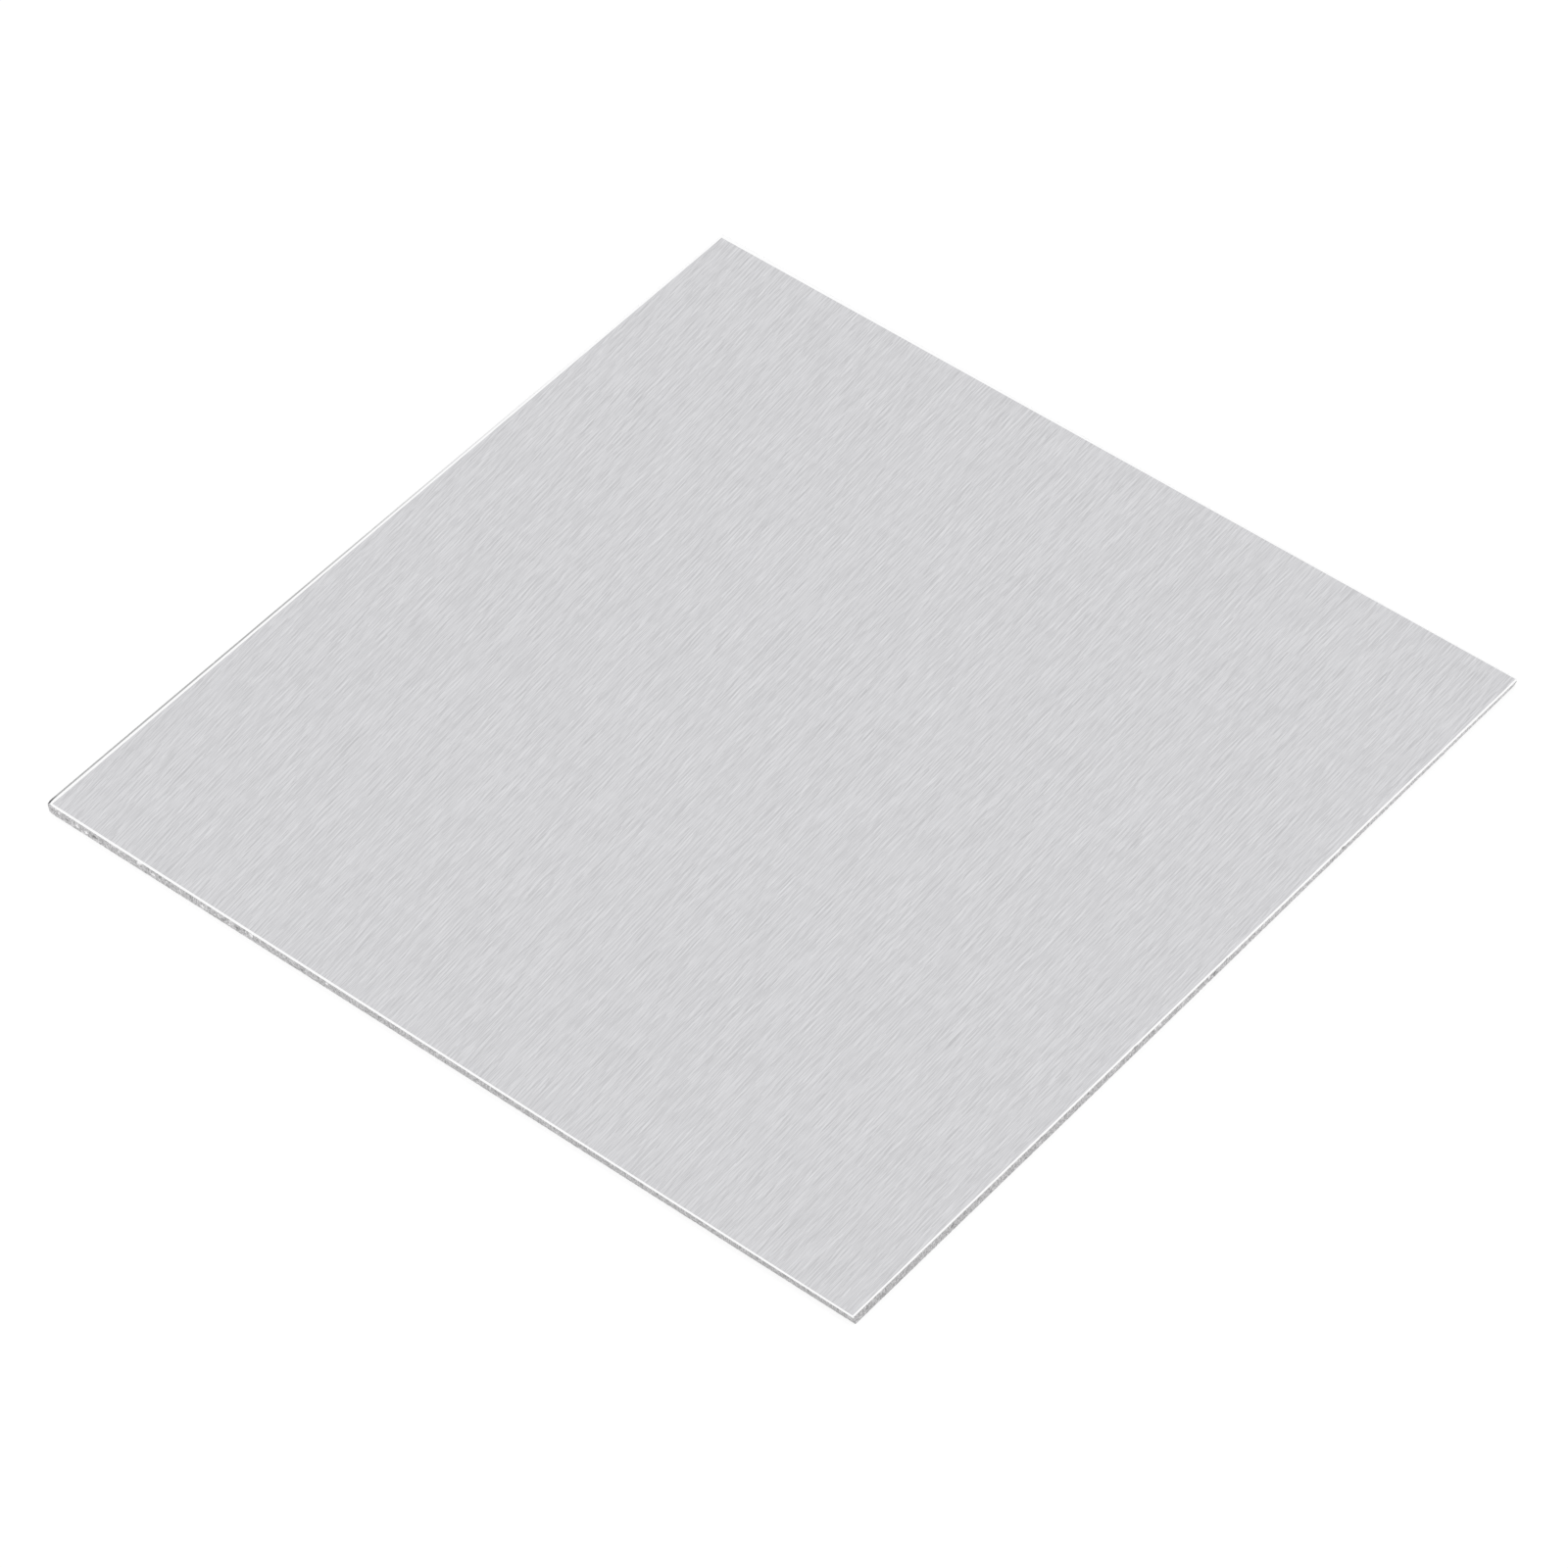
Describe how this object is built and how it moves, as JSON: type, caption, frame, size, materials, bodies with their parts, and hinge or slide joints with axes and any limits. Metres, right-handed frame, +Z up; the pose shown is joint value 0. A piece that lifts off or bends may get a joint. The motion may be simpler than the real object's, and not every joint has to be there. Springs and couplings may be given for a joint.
{
  "type": "aluminium sheet",
  "caption": "Flat square sheet of bare rolled aluminium with a rounded upper edge and sheared sides, stock for cutting, bending, drilling or cladding.",
  "frame": {"origin": "centre of the underside, on the surface that the sheet lies on", "axes": "+Z up, square to the face; +Y along the direction in which the metal was rolled; +X across it"},
  "size_m": [0.3, 0.3, 0.003],
  "materials": {
    "mill_aluminium": "bare mill finish with fine short streaks along the rolling direction, bright rounded upper edges and matt sheared sides"
  },
  "bodies": {
    "root": {"aluminium_sheet": "mill_aluminium"}
  },
  "joints": []
}
